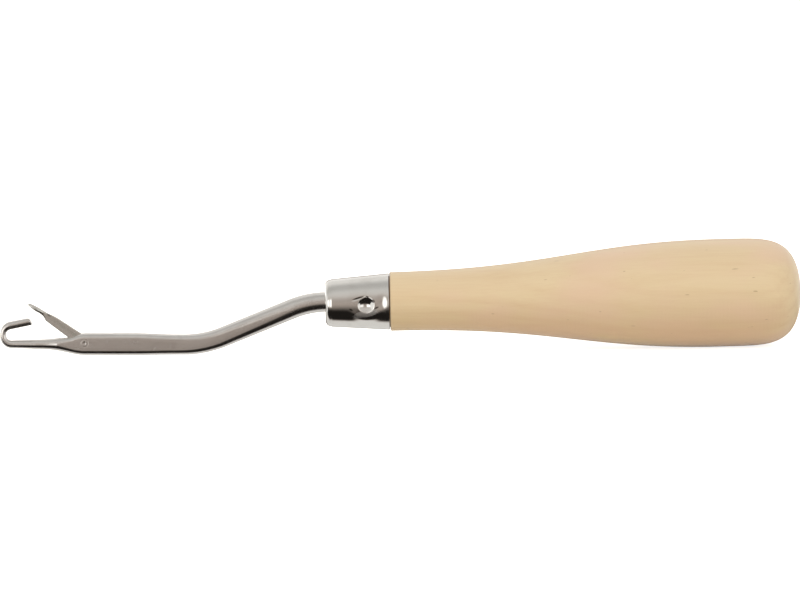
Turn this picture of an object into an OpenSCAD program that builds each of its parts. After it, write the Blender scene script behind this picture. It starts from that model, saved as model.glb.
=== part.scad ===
// Latch hook for knotting rug yarn: a turned wooden handle, a drawn metal ferrule,
// one cranked steel needle with a hook at its end, and a small latch riveted in its head.
// Millimetres. The hook points to -X, the handle's butt to +X, and Z is up. The tool
// lies crank down, on the belly of its handle and the knee of its shank.

/* [Handle] */
// Length of the wood behind the ferrule, shoulder to butt
handle_l = 84.5; // [70:0.5:110]
// Diameter of the wood at its shoulder, beside the ferrule
neck_d = 12.1; // [11.9:0.1:14]
// Largest diameter, at the belly
belly_d = 22.2; // [18:0.1:28]
// Distance of the belly from the shoulder
belly_at = 67.4; // [58:0.2:69]
// How far the neck keeps its slim line before it swells
neck_run = 33.4; // [20:0.2:40]
// How far the belly keeps its full line before it slims
belly_run = 26.8; // [18:0.2:30]
// Squareness of the butt along the handle: 2 is an ellipse
butt_square = 4.9; // [3:0.1:7]
// Squareness of the butt across the handle: 2 is an ellipse
butt_full = 2.4; // [2:0.1:3]
// Rounding of the wood's front shoulder
shoulder_round = 0.3; // [0.1:0.05:0.5]

/* [Ferrule] */
// Length of the ferrule
ferrule_l = 13.2; // [11:0.1:18]
// Outside diameter at its closed front end
ferrule_front_d = 9.6; // [8.5:0.1:10.5]
// Outside diameter at its open rear end
ferrule_rear_d = 11.6; // [10.6:0.1:11.8]
// Sheet thickness
ferrule_wall = 0.5; // [0.3:0.05:0.8]
// Outside rounding of the closed front end
ferrule_nose_round = 1.1; // [0.6:0.05:1.5]
// Rounding of the rear rim
ferrule_rim_round = 0.15; // [0.05:0.05:0.2]
// Width of the punched dimple that grips the wood
dimple_d = 3.3; // [2:0.1:4]
// Depth of the dimple
dimple_depth = 0.8; // [0.3:0.05:1]
// Distance of the dimple from the rear rim
dimple_at = 4.8; // [3.5:0.1:8]

/* [Shank] */
// Thickness of the flat bar, across its flat sides
shank_w = 2.6; // [2.3:0.1:3.2]
// Height of the bar, and its diameter where it is round
shank_h = 4.1; // [3.6:0.05:4.3]
// Rounding of the flat bar's edges
shank_round = 1.1; // [0.6:0.05:1.2]
// Length of the round bar in front of the ferrule, from where it flattens to the head
root_run = 6.5; // [2:0.5:10]
// Reach of the needle, from the ferrule's front to the hook's nose
needle_reach = 67.3; // [60:0.5:90]
// Height of the bar's centre line above the handle's axis, inside the ferrule
tang_up = 0.25; // [0:0.05:0.4]
// Slope of the crank
crank_angle = 20.75; // [15:0.25:28]
// Depth of the knee's centre line below the handle's axis
crank_drop = 7.8; // [6:0.1:10]
// Radius of the bend at the ferrule
crank_top_r = 19.5; // [10:0.5:23]
// Radius of the bend at the knee
crank_knee_r = 21.7; // [12:0.5:24]
// Rise of the needle in front of the knee
needle_rise = 1.6; // [0.6:0.1:3]
// Length of the tang from the ferrule's front into the wood
tang_l = 46; // [32:0.5:60]
// Height of the tang's tip
tang_tip_h = 2.2; // [1.6:0.1:3]
// Width of the tang's tip
tang_tip_w = 1.8; // [1.2:0.1:2.2]

/* [Head] */
// Height of the head at the rivet
head_h = 4.5; // [4.3:0.02:4.8]
// Height of the head's middle above the bar's
head_up = 0.06; // [0:0.01:0.12]
// Length of the head behind the rivet
head_back = 10; // [7:0.1:12]
// Length over which the head slims to the shank
head_blend = 9; // [2:0.5:10]
// Distance from the rivet at which the neck has lost half of the head's swell
neck_half = 4; // [3.4:0.1:4.6]
// Diameter of the stem where the neck ends
stem_d = 1.94; // [1.8:0.02:2.2]

/* [Hook] */
// Distance from the rivet to the hook's nose
nose_at = 17.45; // [16.6:0.05:18]
// Radius of the yarn's seat inside the hook
seat_r = 1.13; // [0.9:0.01:1.4]
// Thickness of the wire where the hook's bend begins and ends
wire_t = 1.64; // [1.4:0.02:1.8]
// Thickness of the wire at the nose
nose_t = 1.24; // [1:0.02:1.5]
// Width of the wire across the hook
wire_w = 1.6; // [1.3:0.02:1.8]
// Thickness of the hook's point
point_t = 1.58; // [1.3:0.02:1.8]
// Width of the hook's point across the hook
point_w = 1.4; // [1.2:0.02:1.6]
// Distance from the nose back to the end of the point
point_back = 6.45; // [5.8:0.05:6.8]
// Slope of the point above the stem
point_lift = 11.7; // [8:0.1:14]

/* [Latch] */
// Length from the rivet's centre to the spoon's tip
latch_l = 14.1; // [13.6:0.05:14.6]
// Thickness of the blade
latch_t = 0.8; // [0.6:0.02:0.9]
// Radius of the heel round the rivet
heel_r = 1.17; // [1:0.01:1.3]
// Height of the blade where it meets the spoon
blade_end_h = 1.68; // [1.3:0.02:1.8]
// Rounding of the blade's edges
blade_round = 0.12; // [0.05:0.01:0.2]
// Length of the spoon
spoon_l = 3.9; // [3:0.1:4.5]
// Width of the spoon
spoon_w = 1.9; // [1.5:0.05:2.2]
// Thickness of the spoon where it begins
spoon_t = 1; // [0.8:0.02:1.1]
// Thickness of the spoon just before its rounded tip
spoon_tip_t = 0.5; // [0.44:0.02:0.7]
// Depth of the spoon's underside below the latch's middle line
spoon_under = 0.42; // [0.3:0.01:0.45]
// Width of the cup under the spoon
cup_w = 1.2; // [0.8:0.05:1.4]
// Length of the cup under the spoon
cup_l = 1.9; // [1:0.1:2.2]
// Depth of the cup under the spoon
cup_depth = 0.15; // [0.05:0.01:0.2]
// Angle of the latch above the stem, as it stands
latch_angle = 35.3; // [28:0.1:150]
// Reach of the latch's slot behind the rivet
slot_back = 5.9; // [5:0.1:6.5]

/* [Rivet] */
// Diameter of the rivet
rivet_d = 1.2; // [1:0.02:1.3]
// Diameter of its peened ends
rivet_head_d = 1.5; // [1.4:0.02:1.8]
// Depth of the countersinks that hold the peened ends
rivet_sink = 0.16; // [0.1:0.01:0.2]
// How far the peened ends stand out
rivet_proud = 0.06; // [0.02:0.01:0.1]
// Height of the rivet above the needle's centre line
rivet_up = 0.36; // [0:0.02:0.4]

/* [Fits] */
// Radial clearance of the latch on its rivet
pivot_fit = 0.03; // [0.01:0.01:0.08]
// Clearance on each side of the latch in its slot
slot_side_fit = 0.09; // [0.05:0.01:0.12]
// Clearance between the latch's heel and the slot's floor
slot_floor_fit = 0.32; // [0.2:0.02:0.4]
// Clearance of the peened rivet in the cheeks
rivet_fit = 0.01; // [0.01:0.005:0.03]
// Clearance of the ferrule over the wooden tenon
tenon_fit = 0.05; // [0.02:0.01:0.1]
// Clearance of the bar in the ferrule's slot and of the tang in the wood
tang_fit = 0.05; // [0.02:0.01:0.1]
// Gap between the ferrule's rim and the wood's shoulder
rim_gap = 0.1; // [0.05:0.01:0.2]
// Gap between the tenon and the ferrule's closed end
tenon_end_gap = 0.3; // [0.1:0.05:0.5]

/* [Hidden] */

wood = [0.89, 0.77, 0.62];
bright_metal = [0.78, 0.76, 0.73];
satin_metal = [0.62, 0.60, 0.56];
pin_metal = [0.55, 0.53, 0.50];

// How many steps draw each curve
corner_steps = 5;
front_steps = 10;
neck_steps = 12;
point_steps = 2;
blade_steps = 3;
top_steps = 12;
spoon_steps = 10;
profile_steps = 30;
butt_steps = 18;
round_fn = 64;
// How many degrees lie between the points of each arc
bend_step = 3;
hook_step = 10;
heel_step = 16;
cap_step = 17.5;
cap_start = 20;
dome_step = 18;
nose_step = 15;
tiny = 0.01;
// A rounded end stops at this share of its width, in a small flat
blunt = 0.15;
// How far a cutting shape runs past what it cuts
overshoot = 1;
// The neck is drawn to this many of its half distances, where its swell is gone
neck_ends = 2.5;

neck_r = neck_d / 2;
belly_r = belly_d / 2;
ferrule_rear_x = -rim_gap;
ferrule_front_x = ferrule_rear_x - ferrule_l;
ferrule_front_r = ferrule_front_d / 2;
ferrule_rear_r = ferrule_rear_d / 2;

// The needle's centre line, as places [x, z] in the plane of the crank. A slope is
// counted down from -X, so the hook's bend carries it on past -90 degrees.
crank_start = [ferrule_front_x, tang_up];
crank_slope_top = crank_start - crank_top_r * (up(0) - up(crank_angle));
knee_centre_z = crank_knee_r - crank_drop;
knee_top_z = knee_centre_z - crank_knee_r * cos(crank_angle);
slope_l = (crank_slope_top[1] - knee_top_z) / sin(crank_angle);
knee_top = crank_slope_top + slope_l * ahead(crank_angle);
knee_centre = knee_top + crank_knee_r * up(crank_angle);
knee_end = knee_centre - crank_knee_r * up(-needle_rise);
nose_x = ferrule_front_x - needle_reach;
rivet_foot_x = nose_x + nose_at * cos(needle_rise);
front_l = (knee_end[0] - rivet_foot_x) / cos(needle_rise);
knee_behind = front_l + arc_l(crank_knee_r, crank_angle + needle_rise);
bar_l = knee_behind + slope_l + arc_l(crank_top_r, crank_angle);
rivet_foot = knee_end + front_l * ahead(-needle_rise);
rivet_place = rivet_foot + rivet_up * up(-needle_rise);

// The hook, in distances forward of the rivet and above the needle's centre line
seat_at = nose_at - nose_t - seat_r;
seat_up = seat_r + wire_t / 2;
point_end_at = nose_at - point_back;
point_turn = 180 - point_lift;
point_bend_out = (seat_r + wire_t / 2) * sin(point_lift);
point_l = (seat_at + point_bend_out - point_end_at) / cos(point_lift);

// The latch's slot is milled by a disc that stands over the rivet
slot_w = latch_t + 2 * slot_side_fit;
slot_depth = heel_r + slot_floor_fit;
slot_top = head_h / 2 + head_up - rivet_up;
saw_up = (pow(slot_back, 2) + pow(slot_top, 2) - pow(slot_depth, 2)) / (2 * (slot_top + slot_depth));
saw_r = saw_up + slot_depth;

// The tool leans until its belly and its knee both touch the floor. The outline is a
// cubic curve, and this is how wide it bends at its end.
belly_curve_r = 1.5 * pow(belly_run, 2) / (belly_r - neck_r);
belly_centre = [belly_at, belly_curve_r - belly_r];
knee_floor_r = crank_knee_r + shank_h / 2;
rest_span = belly_centre - knee_centre;
lean = asin((belly_curve_r - knee_floor_r) / norm(rest_span)) - atan2(rest_span[1], rest_span[0]);
head_low = on_front(-head_back, head_up - head_h / 2);
floor_z = min(leaned(knee_centre)[1] - knee_floor_r, leaned(head_low)[1]);
nose_place = on_front(nose_at, seat_up);
middle_x = (leaned(nose_place)[0] + leaned([handle_l, 0])[0]) / 2;

function lerp(a, b, t) = a + (b - a) * t;
function share(t) = min(max(t, 0), 1);
function smooth(t) = pow(share(t), 2) * (3 - 2 * share(t));
function ahead(slope) = [-cos(slope), -sin(slope)];
function up(slope) = [-sin(slope), cos(slope)];
function arc_l(r, angle) = r * angle * PI / 180;
function leaned(p) = [p[0] * cos(lean) - p[1] * sin(lean), p[0] * sin(lean) + p[1] * cos(lean)];
function on_front(forward, above) = rivet_foot + forward * ahead(-needle_rise) + above * up(-needle_rise);
function ferrule_r_at(x) = lerp(ferrule_front_r, ferrule_rear_r, (x - ferrule_front_x) / ferrule_l);

// A station is [place, slope, width, height, edge rounding] of a bar's cross-section
function grown(s, g) = [s[0], s[1], s[2] + 2 * g, s[3] + 2 * g, s[4] + g];

// Points of a rounded rectangle, as [across, above]
function bar_section(w, h, round_r) =
    let (r = min(round_r, w / 2 - tiny, h / 2 - tiny))
    [
        for (corner = [0:3], i = [0:corner_steps])
            let (a = 90 * corner + 90 * i / corner_steps)
            let (side = corner == 0 || corner == 3 ? 1 : -1)
            let (level = corner < 2 ? 1 : -1)
            [side * (w / 2 - r) + r * cos(a), level * (h / 2 - r) + r * sin(a)]
    ];

function ring(s) = [
    for (p = bar_section(s[2], s[3], s[4]))
        let (q = s[0] + p[1] * up(s[1]))
        [q[0], p[0], q[1]]
];

// A closed skin over the rings of a list of stations
module loft(stations) {
    rings = [for (s = stations) ring(s)];
    last = len(rings) - 1;
    side = len(rings[0]);
    points = [for (r = rings) each r];
    walls = [
        for (i = [0:last - 1], j = [0:side - 1])
            let (a = i * side + j, b = i * side + (j + 1) % side)
            each [[a, b + side, a + side], [a, b, b + side]]
    ];
    caps = [
        [for (j = [side - 1:-1:0]) j],
        [for (j = [0:side - 1]) last * side + j]
    ];
    polyhedron(points = points, faces = concat(walls, caps));
}

// The tang, from its tip to the ferrule's front. The bar stays round inside the ferrule
// and tapers in the wood, to a flat tip with broken edges.
tang_tip_x = ferrule_front_x + tang_l;
tang_full_x = 2;
tang_bevel = 0.3;
tang_tip_round = 0.6;

function tang_station(x, bevel) =
    let (t = (tang_tip_x - x) / (tang_tip_x - tang_full_x))
    let (w = lerp(tang_tip_w, shank_h, t), h = lerp(tang_tip_h, shank_h, t))
    [[x, tang_up], 0, w - 2 * bevel, h - 2 * bevel, lerp(tang_tip_round, shank_h / 2, t) - bevel];

tang_stations = [
    tang_station(tang_tip_x, tang_bevel),
    tang_station(tang_tip_x - tang_bevel, 0),
    tang_station(tang_full_x, 0)
];

// The bar from the ferrule to the rivet, by the distance behind the rivet. It is round
// at first, flattens evenly as far as the head, and swells there to the head's height.
function bar_station(place, slope, behind) =
    let (head_from = head_back + head_blend)
    let (flat = share((bar_l - root_run - behind) / (bar_l - root_run - head_from)))
    let (swell = smooth((head_from - behind) / head_blend))
    [
        place + swell * head_up * up(slope),
        slope,
        lerp(shank_h, shank_w, flat),
        lerp(shank_h, head_h, swell),
        lerp(shank_h / 2, shank_round, flat)
    ];

bar_stations = [
    for (a = [0:bend_step:crank_angle - tiny])
        bar_station(crank_start - crank_top_r * (up(0) - up(a)), a, bar_l - arc_l(crank_top_r, a)),
    bar_station(crank_slope_top, crank_angle, knee_behind + slope_l),
    for (a = [crank_angle:-bend_step:-needle_rise + tiny])
        bar_station(knee_centre - crank_knee_r * up(a), a, front_l + arc_l(crank_knee_r, a + needle_rise)),
    for (i = [0:front_steps])
        let (behind = front_l * (1 - i / front_steps))
        bar_station(on_front(-behind, 0), -needle_rise, behind)
];

// The neck in front of the rivet. It is round where it is slimmer than the bar is thick,
// and from there the flat sides open like a V.
function neck_station(forward) =
    let (swell = pow(0.5, pow(forward / neck_half, 2)))
    let (d = lerp(stem_d, head_h, swell), w = min(d, shank_w))
    let (flat = max(0, d - shank_w) / (head_h - shank_w))
    [on_front(forward, swell * head_up), -needle_rise, w, d, lerp(w / 2, shank_round, flat)];

neck_stations = [for (i = [1:neck_steps]) neck_station(neck_ends * neck_half * i / neck_steps)];

// The hook: a bend that thins at the nose, a straight point and a rounded end
function wire_t_at(turn) = lerp(wire_t, nose_t, pow(sin(min(turn, 180)), 2));

function hook_station(turn) =
    let (slope = -needle_rise - turn)
    let (centre = on_front(seat_at, seat_up))
    let (t = wire_t_at(turn))
    [centre - (seat_r + t / 2) * up(slope), slope, wire_w, t, t / 2];

point_start = hook_station(point_turn);

function point_station(along) =
    let (cap = point_t / 2, left = max(point_l - along, 0))
    let (t = lerp(wire_t_at(point_turn), point_t, min(along / (point_l - cap), 1)))
    let (full = max(left >= cap ? 1 : sqrt(1 - pow(1 - left / cap, 2)), blunt))
    [
        point_start[0] + along * ahead(point_start[1]),
        point_start[1],
        full * lerp(wire_w, point_w, along / point_l),
        full * t,
        full * t / 2
    ];

hook_stations = [
    for (turn = [0:hook_step:point_turn - tiny]) hook_station(turn),
    point_start,
    for (i = [1:point_steps]) point_station((point_l - point_t / 2) * i / point_steps),
    for (a = [cap_start:cap_step:90]) point_station(point_l - point_t / 2 * (1 - sin(a)))
];

module needle_blank() {
    loft(concat(tang_stations, bar_stations, neck_stations, hook_stations));
}

// Cylinder along Y, centred on the crank's plane, in the needle's own plane
module cross_pin(place, r, w) {
    translate([place[0], 0, place[1]])
        rotate([90, 0, 0])
            cylinder(r = r, h = w, center = true, $fn = round_fn);
}

// Half of the rivet, or of the room for it, as a profile to be turned: a pin with a
// countersunk end and a low dome
module rivet_half(fit, dome) {
    half = shank_w / 2;
    pin_r = rivet_d / 2 + fit;
    end_r = rivet_head_d / 2 + fit;
    polygon(concat(
        [[0, 0], [pin_r, 0], [pin_r, half - rivet_sink - fit]],
        [for (a = [0:dome_step:90]) [end_r * cos(a), half + dome * sin(a)]]
    ));
}

module rivet_shape(fit, dome) {
    translate([rivet_place[0], 0, rivet_place[1]])
        for (side = [-90, 90])
            rotate([side, 0, 0])
                rotate_extrude($fn = round_fn)
                    rivet_half(fit, dome);
}

module needle() {
    color(satin_metal)
        seated()
            difference() {
                needle_blank();
                cross_pin(rivet_place + saw_up * up(-needle_rise), saw_r, slot_w);
                rivet_shape(rivet_fit, rivet_proud + overshoot);
            }
}

module latch_rivet() {
    color(pin_metal)
        seated()
            rivet_shape(0, rivet_proud);
}

// The latch along -X from its pivot: a round heel, a tapered blade and a spoon that
// is thinner and wider. The blade runs into the spoon slowly above and in a step below.
spoon_at = latch_l - spoon_l;
top_blend = 3;
under_blend = 1.2;
blend_end = spoon_at + 0.1;

function blend_share(u, l) = smooth((u - blend_end + l) / l);

// How full the spoon still is, where its end is rounded over the length l
function spoon_end(u, l) = max(sqrt(1 - pow(min(max(u - latch_l + l, 0) / l, 1), 2)), blunt);

// How far the latch reaches from its middle line, where its blade blends over the
// length l into a spoon that reaches that far
function latch_reach(u, l, spoon_reach) =
    u < 0
        ? sqrt(pow(heel_r, 2) - pow(u, 2))
        : lerp(lerp(heel_r, blade_end_h / 2, min(u / spoon_at, 1)), spoon_reach, blend_share(u, l));

function latch_station(u) =
    let (t = lerp(spoon_t, spoon_tip_t, max(u - spoon_at, 0) / spoon_l))
    let (top = latch_reach(u, top_blend, t - spoon_under))
    let (under = latch_reach(u, under_blend, spoon_under))
    let (flat = blend_share(u, under_blend), widened = smooth(2 * (u - spoon_at) / spoon_l))
    let (w = spoon_end(u, spoon_l / 2) * lerp(latch_t, spoon_w, widened))
    let (h = spoon_end(u, spoon_tip_t) * (top + under))
    [[-u, (top - under) / 2], 0, w, h, lerp(blade_round, h / 2, flat)];

latch_stations = [
    for (a = [5 * heel_step:-heel_step:0]) latch_station(-heel_r * sin(a)),
    for (i = [1:blade_steps]) latch_station((blend_end - top_blend) * i / blade_steps),
    for (i = [1:top_steps]) latch_station(blend_end - top_blend * (1 - i / top_steps)),
    for (i = [1:spoon_steps]) latch_station(blend_end + (latch_l - blend_end) * sin(90 * i / spoon_steps))
];

// A shallow round cup under the spoon, which covers the hook's point
module spoon_cup() {
    cup_r = (pow(cup_w / 2, 2) + pow(cup_depth, 2)) / (2 * cup_depth);
    translate([-(spoon_at + latch_l) / 2, 0, cup_depth - spoon_under - cup_r])
        rotate([0, 90, 0])
            cylinder(r = cup_r, h = cup_l, center = true, $fn = round_fn);
}

module latch() {
    color(satin_metal)
        seated()
            translate([rivet_place[0], 0, rivet_place[1]])
                rotate([0, latch_angle + needle_rise, 0])
                    difference() {
                        loft(latch_stations);
                        cross_pin([0, 0], rivet_d / 2 + pivot_fit, 2 * latch_t);
                        spoon_cup();
                    }
}

// The ferrule: a tapered cup with its closed end to the front
module ferrule_profile() {
    r = ferrule_nose_round;
    rim = ferrule_rim_round;
    polygon(concat(
        [[0, ferrule_front_x]],
        [for (a = [0:nose_step:90]) [ferrule_front_r - r + r * sin(a), ferrule_front_x + r - r * cos(a)]],
        [[ferrule_rear_r, ferrule_rear_x - rim], [ferrule_rear_r - rim, ferrule_rear_x]],
        [[0, ferrule_rear_x]]
    ));
}

module ferrule_cavity_profile() {
    front = ferrule_front_x + ferrule_wall;
    r = max(ferrule_nose_round - ferrule_wall, tiny);
    front_r = ferrule_r_at(front) - ferrule_wall;
    polygon(concat(
        [[0, front]],
        [for (a = [0:nose_step:90]) [front_r - r + r * sin(a), front + r - r * cos(a)]],
        [[ferrule_r_at(overshoot) - ferrule_wall, overshoot], [0, overshoot]]
    ));
}

// Turns a profile of [radius, x] about the handle's axis
module turned() {
    rotate([0, 90, 0])
        rotate_extrude($fn = round_fn)
            children();
}

// The round punch that pressed a dimple on both sides, or what it pushed ahead of it
module dimple_punch(wall) {
    punch_r = (pow(dimple_d / 2, 2) + pow(dimple_depth, 2)) / (2 * dimple_depth);
    x = ferrule_rear_x - dimple_at;
    for (side = [-1, 1])
        translate([x, side * (ferrule_r_at(x) + punch_r - dimple_depth), 0])
            sphere(r = punch_r + wall, $fn = round_fn);
}

module ferrule() {
    color(bright_metal)
        seated()
            difference() {
                turned() ferrule_profile();
                difference() {
                    turned() ferrule_cavity_profile();
                    dimple_punch(ferrule_wall);
                }
                dimple_punch(0);
                tang_room(tang_fit);
            }
}

// The wooden tenon inside the ferrule
module tenon_profile() {
    front = ferrule_front_x + ferrule_wall + tenon_end_gap;
    shrink = ferrule_wall + tenon_fit;
    chamfer = ferrule_nose_round;
    polygon([
        [0, front],
        [ferrule_r_at(front) - shrink - chamfer, front],
        [ferrule_r_at(front + chamfer) - shrink, front + chamfer],
        [ferrule_r_at(shoulder_round) - shrink, shoulder_round],
        [0, shoulder_round]
    ]);
}

// The room for the bar and its tang, open to the front
module tang_room(fit) {
    mouth = bar_station([ferrule_front_x - overshoot, tang_up], 0, bar_l);
    first = tang_stations[0];
    tip = [first[0] + [fit, 0], first[1], first[2], first[3], first[4]];
    body = [for (i = [1:len(tang_stations) - 1]) tang_stations[i]];
    loft([for (s = concat([tip], body, [mouth])) grown(s, fit)]);
}

// The turned handle's outline: a long swell to the belly, then a squared round butt
function swell(t) = [
    3 * (1 - t) * t * ((1 - t) * neck_run + t * (belly_at - belly_run)) + pow(t, 3) * belly_at,
    lerp(neck_r, belly_r, smooth(t))
];

function butt(a) = [
    belly_at + (handle_l - belly_at) * pow(sin(a), 2 / butt_square),
    belly_r * pow(cos(a), 2 / butt_full)
];

module handle_profile() {
    swelled = [for (i = [1:profile_steps]) swell(i / profile_steps)];
    butt_end = [for (i = [1:butt_steps]) butt(90 * i / butt_steps)];
    polygon(concat(
        [[0, 0], [neck_r - shoulder_round, 0], [neck_r, shoulder_round]],
        [for (p = concat(swelled, butt_end)) if (p[0] > shoulder_round) [p[1], p[0]]]
    ));
}

module handle() {
    color(wood)
        seated()
            difference() {
                union() {
                    turned() handle_profile();
                    turned() tenon_profile();
                }
                dimple_punch(ferrule_wall + tenon_fit);
                tang_room(tang_fit);
            }
}

// Stands the tool on the floor, with the origin under the middle of its length
module seated() {
    translate([-middle_x, 0, -floor_z])
        rotate([0, -lean, 0])
            children();
}

handle();
ferrule();
needle();
latch();
latch_rivet();
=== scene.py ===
"""The looks of a latch hook: turned handle, plated ferrule, cranked needle, latch and rivet.

Lengths are millimetres in the tool's own frame. X runs along the handle's axis from the
wood's shoulder, with the butt at +X and the hook at -X, Y runs across the tool and Z up.
Seat turns that frame into the row's, in metres. Every shape is a skin: rings of points,
as many round each ring, worked out as whole arrays.
"""

import logging
import math
from dataclasses import dataclass, field
from enum import Enum
from typing import Any

import bpy
import numpy as np
from mathutils import Matrix, Vector

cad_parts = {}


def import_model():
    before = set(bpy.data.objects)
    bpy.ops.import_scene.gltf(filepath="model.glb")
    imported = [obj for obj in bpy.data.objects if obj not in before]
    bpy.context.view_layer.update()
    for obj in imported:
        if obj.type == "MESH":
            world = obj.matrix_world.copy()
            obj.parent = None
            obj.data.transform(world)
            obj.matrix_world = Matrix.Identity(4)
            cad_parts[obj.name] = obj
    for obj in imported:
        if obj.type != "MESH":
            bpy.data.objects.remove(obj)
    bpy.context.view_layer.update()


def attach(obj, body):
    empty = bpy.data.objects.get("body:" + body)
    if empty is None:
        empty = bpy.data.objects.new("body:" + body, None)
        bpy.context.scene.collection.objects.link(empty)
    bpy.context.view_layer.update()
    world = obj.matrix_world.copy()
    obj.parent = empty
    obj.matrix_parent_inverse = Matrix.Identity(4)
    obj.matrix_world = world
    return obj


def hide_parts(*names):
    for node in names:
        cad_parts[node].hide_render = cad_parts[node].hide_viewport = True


LOG = logging.getLogger("latch_hook")
MM = 0.001

Array = np.ndarray
Colour = tuple[float, float, float]


def lerp(a: Any, b: Any, t: Any) -> Any:
    """Goes straight from a at t = 0 to b at t = 1."""
    return a + (b - a) * t


def smooth(t: Any) -> Any:
    """Smoothstep 3t^2 - 2t^3, with t held between 0 and 1."""
    t = np.clip(t, 0.0, 1.0)
    return t * t * (3.0 - 2.0 * t)


def steps(*stretches: tuple[float, float, int]) -> Array:
    """Joins evenly spaced stretches of numbers into one rising or falling run.

    Args:
        stretches: (first, last, count of steps) of each stretch, each beginning where
            the one before ends.

    Returns:
        All the numbers, with each join given once.
    """
    runs = [np.linspace(a, b, n + 1) for a, b, n in stretches]
    return np.concatenate([runs[0]] + [run[1:] for run in runs[1:]])


def ahead(slope: Any) -> Array:
    """Unit vector [x, z] that points to the hook at a slope in degrees below -X."""
    a = np.radians(slope)
    return np.stack([-np.cos(a), -np.sin(a)], axis=-1)


def up(slope: Any) -> Array:
    """Unit vector [x, z] square to ahead(slope), on the side of the hook's point."""
    a = np.radians(slope)
    return np.stack([-np.sin(a), np.cos(a)], axis=-1)


@dataclass(frozen=True)
class Seat:
    """How the tool stands in the row frame: leaned about Y, then moved."""

    lean_deg: float = 0.660684
    middle_x: float = 2.00467
    floor_z: float = -10.3363

    def turn(self) -> tuple[float, float]:
        """Cosine and sine of the lean."""
        lean = math.radians(self.lean_deg)
        return math.cos(lean), math.sin(lean)

    def row(self, points: Array) -> Array:
        """Turns points by the lean, moves them, and makes millimetres metres.

        Args:
            points: (..., 3) in the tool's frame.

        Returns:
            The same points in the row frame.
        """
        c, s = self.turn()
        x, y, z = points[..., 0], points[..., 1], points[..., 2]
        seated = [x * c - z * s - self.middle_x, y, x * s + z * c - self.floor_z]
        return np.stack(seated, axis=-1) * MM

    def tool(self, points: Array) -> Array:
        """Takes points of the row frame back into the tool's frame.

        Args:
            points: (..., 3) in the row frame.

        Returns:
            The same points in the tool's frame.
        """
        c, s = self.turn()
        x, y, z = (points[..., n] / MM for n in range(3))
        x, z = x + self.middle_x, z + self.floor_z
        return np.stack([x * c + z * s, y, z * c - x * s], axis=-1)


def write_run(mesh: bpy.types.Mesh, run: Array) -> None:
    """Writes the "run" attribute: how far along, across and above its piece each vertex lies.

    Args:
        mesh: the piece's mesh.
        run: (vertices, 3) millimetres.
    """
    attribute = mesh.attributes.new("run", "FLOAT_VECTOR", "POINT")
    attribute.data.foreach_set("vector", run.astype(np.float32).ravel())


class Ends(Enum):
    """How a skin closes at its first and last ring."""

    POLES = "each end ring is gathered into a point at its middle"
    JOINED = "the last ring runs on into the first"


@dataclass(frozen=True)
class Skin:
    """A closed surface over rings of points, made into a mesh in the row frame.

    follow gives each point's run, where the piece's finish goes by it.
    """

    name: str
    rings: Array
    ends: Ends
    follow: Array | None = None

    def faces(self, rings: int, around: int) -> tuple[Array, Array]:
        """Numbers the corners of the quads between rings and of the fans at the poles.

        Quad (i, j) has the corners i m + j, i m + j + 1, (i + 1) m + j + 1 and
        (i + 1) m + j, where m is the count of points in a ring and j + 1 wraps round.

        Args:
            rings: how many rings there are.
            around: how many points each has.

        Returns:
            The quads as (n, 4) and the triangles as (n, 3).
        """
        wrapped = self.ends is Ends.JOINED
        i = np.arange(rings if wrapped else rings - 1)[:, None]
        j = np.arange(around)[None, :]
        k = (j + 1) % around
        a, b = i * around, (i + 1) % rings * around
        quads = np.stack([a + j, a + k, b + k, b + j], axis=-1).reshape(-1, 4)
        if wrapped:
            return quads, np.zeros((0, 3), int)
        j, k = j[0], k[0]
        first, last, top = rings * around, rings * around + 1, (rings - 1) * around
        fans = [
            np.stack([np.full_like(j, first), k, j], axis=-1),
            np.stack([np.full_like(j, last), top + j, top + k], axis=-1),
        ]
        return quads, np.concatenate(fans)

    def build(self, seat: Seat) -> bpy.types.Object:
        """Makes the mesh object, with its faces outwards and smooth.

        The signed volume, the sum of a . (b x c) over the faces' triangles, tells
        which way the faces point.

        Args:
            seat: where the tool stands.

        Returns:
            The new object, at the origin.
        """
        rings, around = self.rings.shape[:2]
        points = self.rings.reshape(-1, 3)
        follow = None if self.follow is None else self.follow.reshape(-1, 3)
        if self.ends is Ends.POLES:
            points = np.vstack([points, self.rings[0].mean(0), self.rings[-1].mean(0)])
            if follow is not None:
                follow = np.vstack([follow, self.follow[0].mean(0), self.follow[-1].mean(0)])
        quads, fans = self.faces(rings, around)
        halves = np.concatenate([quads[:, :3], quads[:, [0, 2, 3]], fans])
        a, b, c = (points[halves[:, n]] for n in range(3))
        if np.einsum("ij,ij->i", a, np.cross(b, c)).sum() < 0:
            quads, fans = quads[:, ::-1], fans[:, ::-1]
        corners = np.concatenate([quads.ravel(), fans.ravel()]).astype(np.int32)
        sizes = np.concatenate([np.full(len(quads), 4), np.full(len(fans), 3)])
        starts = (np.cumsum(sizes) - sizes).astype(np.int32)

        mesh = bpy.data.meshes.new(self.name)
        mesh.vertices.add(len(points))
        mesh.vertices.foreach_set("co", seat.row(points).astype(np.float32).ravel())
        mesh.loops.add(len(corners))
        mesh.loops.foreach_set("vertex_index", corners)
        mesh.polygons.add(len(starts))
        mesh.polygons.foreach_set("loop_start", starts)
        mesh.update(calc_edges=True)
        if mesh.validate():
            LOG.warning("%s: the mesh had faults, which were taken out", self.name)
        if follow is not None:
            write_run(mesh, follow)
        mesh.shade_smooth()
        mesh.set_sharp_from_angle(angle=math.radians(40))
        piece = bpy.data.objects.new(self.name, mesh)
        bpy.context.scene.collection.objects.link(piece)
        return piece


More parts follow.
